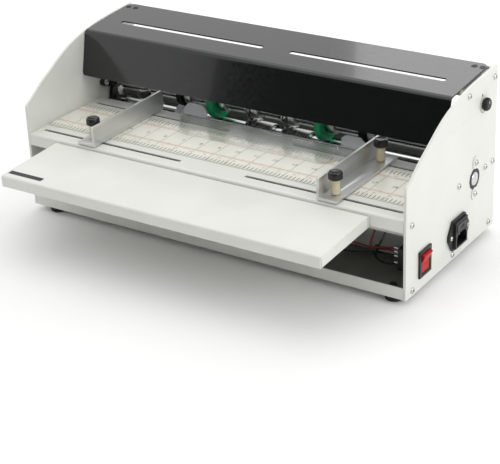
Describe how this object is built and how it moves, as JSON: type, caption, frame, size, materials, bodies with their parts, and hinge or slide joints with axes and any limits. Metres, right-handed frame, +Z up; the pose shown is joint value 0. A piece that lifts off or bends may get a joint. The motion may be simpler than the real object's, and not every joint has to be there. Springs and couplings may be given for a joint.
{
  "type": "paper creasing machine",
  "caption": "Bench-top electric paper creasing and perforating machine with a feed table, side guides, driven wheel shafts, front tray and a hinged black cover.",
  "frame": {"origin": "centre of the overall footprint, on the surface that the feet stand on", "axes": "+X along the shafts to the side with the switch, +Y from the operator to the delivery side, +Z up"},
  "size_m": [0.5164, 0.3178, 0.2034],
  "materials": {
    "powder_white": "fine satin powder coat",
    "gloss_black_enamel": "gloss enamel",
    "brushed_aluminium": "brushed along the length",
    "ground_steel": "ground and polished",
    "green_polyurethane": "moulded, satin",
    "black_rubber": "moulded, matt",
    "white_nylon": "turned",
    "cream_nylon": "moulded, slightly translucent",
    "black_plastic": "moulded, satin",
    "red_plastic": "moulded, gloss",
    "clear_acrylic": "clear sheet",
    "printed_film": "printed and laminated scale",
    "zinc_plate": "zinc plated",
    "cast_black": "black painted casting",
    "circuit_board": "solder mask",
    "red_wire": "PVC insulation",
    "black_wire": "PVC insulation"
  },
  "bodies": {
    "frame": {"left_side_plate": "powder_white", "right_side_plate": "powder_white", "base_tray": "powder_white", "foot_front_left": "black_rubber", "foot_front_right": "black_rubber", "foot_rear_left": "black_rubber", "foot_rear_right": "black_rubber", "feed_table": "powder_white", "ruler_sheet": "printed_film", "table_cross_beam": "powder_white", "delivery_plate": "powder_white", "clear_paper_guide": "clear_acrylic", "gear_motor": "zinc_plate", "motor_bracket": "zinc_plate", "lower_bearing_left": "cast_black", "lower_bearing_right": "cast_black", "upper_bearing_left": "cast_black", "upper_bearing_right": "cast_black", "cover_rail_left": "powder_white", "cover_rail_right": "powder_white", "switch_body": "black_plastic", "power_inlet": "black_plastic", "speed_control": "zinc_plate", "control_board": "circuit_board", "motor_wire_red": "red_wire", "motor_wire_black": "black_wire", "control_wire_red": "red_wire", "control_wire_black": "black_wire"},
    "front_tray": {"front_tray": "powder_white"},
    "top_cover": {"top_cover": "gloss_black_enamel"},
    "power_rocker": {"power_rocker": "red_plastic"},
    "fuse_drawer": {"fuse_drawer": "black_plastic"},
    "speed_knob": {"speed_knob": "black_plastic"},
    "motor_pinion": {"motor_pinion": "ground_steel"},
    "upper_shaft": {"upper_rubber_wheel_1": "black_rubber", "upper_feed_wheel_2": "green_polyurethane", "upper_crease_wheel_3": "ground_steel", "upper_crease_wheel_4": "ground_steel", "upper_feed_wheel_5": "green_polyurethane", "upper_rubber_wheel_6": "black_rubber", "upper_shaft": "ground_steel", "upper_gear": "ground_steel"},
    "lower_shaft": {"lower_rubber_wheel_1": "white_nylon", "lower_crease_wheel_3": "ground_steel", "lower_crease_wheel_4": "ground_steel", "lower_rubber_wheel_6": "white_nylon", "lower_shaft": "ground_steel", "lower_gear": "ground_steel"},
    "left_guide": {"left_guide": "brushed_aluminium", "left_guide_post_front": "cream_nylon", "left_guide_post_rear": "cream_nylon"},
    "left_knob_front": {"left_guide_knob_front": "black_plastic"},
    "left_knob_rear": {"left_guide_knob_rear": "black_plastic"},
    "right_guide": {"right_guide": "brushed_aluminium", "right_guide_post_front": "cream_nylon", "right_guide_post_rear": "cream_nylon"},
    "right_knob_front": {"right_guide_knob_front": "black_plastic"},
    "right_knob_rear": {"right_guide_knob_rear": "black_plastic"}
  },
  "joints": [
    {"name": "lower_shaft_spin", "type": "hinge", "parent": "frame", "child": "lower_shaft", "pos_m": [-0.0032, 0.10441, 0.086], "axis": [1, 0, 0], "continuous": true},
    {"name": "upper_shaft_spin", "type": "hinge", "parent": "frame", "child": "upper_shaft", "pos_m": [-0.0032, 0.10441, 0.12], "axis": [1, 0, 0], "continuous": true},
    {"name": "motor_spin", "type": "hinge", "parent": "frame", "child": "motor_pinion", "pos_m": [0.2312, 0.10441, 0.052], "axis": [1, 0, 0], "continuous": true},
    {"name": "cover_lift", "type": "hinge", "parent": "frame", "child": "top_cover", "pos_m": [-0.0032, 0.15541, 0.1976], "axis": [-1, 0, 0], "range_deg": [0, 100]},
    {"name": "left_guide_slide", "type": "slide", "parent": "frame", "child": "left_guide", "axis": [1, 0, 0], "range_m": [-0.072, 0.031]},
    {"name": "right_guide_slide", "type": "slide", "parent": "frame", "child": "right_guide", "axis": [1, 0, 0], "range_m": [-0.012, 0.078]},
    {"name": "left_knob_front_turn", "type": "hinge", "parent": "left_guide", "child": "left_knob_front", "pos_m": [-0.1693, -0.03959, 0.128], "axis": [0, 0, 1], "range_deg": [0, 360]},
    {"name": "left_knob_rear_turn", "type": "hinge", "parent": "left_guide", "child": "left_knob_rear", "pos_m": [-0.1693, 0.06091, 0.128], "axis": [0, 0, 1], "range_deg": [0, 360]},
    {"name": "right_knob_front_turn", "type": "hinge", "parent": "right_guide", "child": "right_knob_front", "pos_m": [0.1573, -0.03959, 0.128], "axis": [0, 0, 1], "range_deg": [0, 360]},
    {"name": "right_knob_rear_turn", "type": "hinge", "parent": "right_guide", "child": "right_knob_rear", "pos_m": [0.1573, 0.06091, 0.128], "axis": [0, 0, 1], "range_deg": [0, 360]},
    {"name": "rocker_tip", "type": "hinge", "parent": "frame", "child": "power_rocker", "pos_m": [0.2525, -0.01609, 0.03775], "axis": [0, 1, 0], "range_deg": [-23.5, 0]},
    {"name": "speed_turn", "type": "hinge", "parent": "frame", "child": "speed_knob", "pos_m": [0.2552, 0.12341, 0.1684], "axis": [1, 0, 0], "range_deg": [-150, 150]},
    {"name": "fuse_drawer_slide", "type": "slide", "parent": "frame", "child": "fuse_drawer", "axis": [1, 0, 0], "range_m": [0, 0.018]},
    {"name": "tray_lift", "type": "slide", "parent": "frame", "child": "front_tray", "axis": [0, 0, 1], "range_m": [0, 0.0044]}
  ],
  "couplings": [
    {"joint": "upper_shaft_spin", "follows": "lower_shaft_spin", "ratio": -1},
    {"joint": "motor_spin", "follows": "lower_shaft_spin", "ratio": -1}
  ]
}
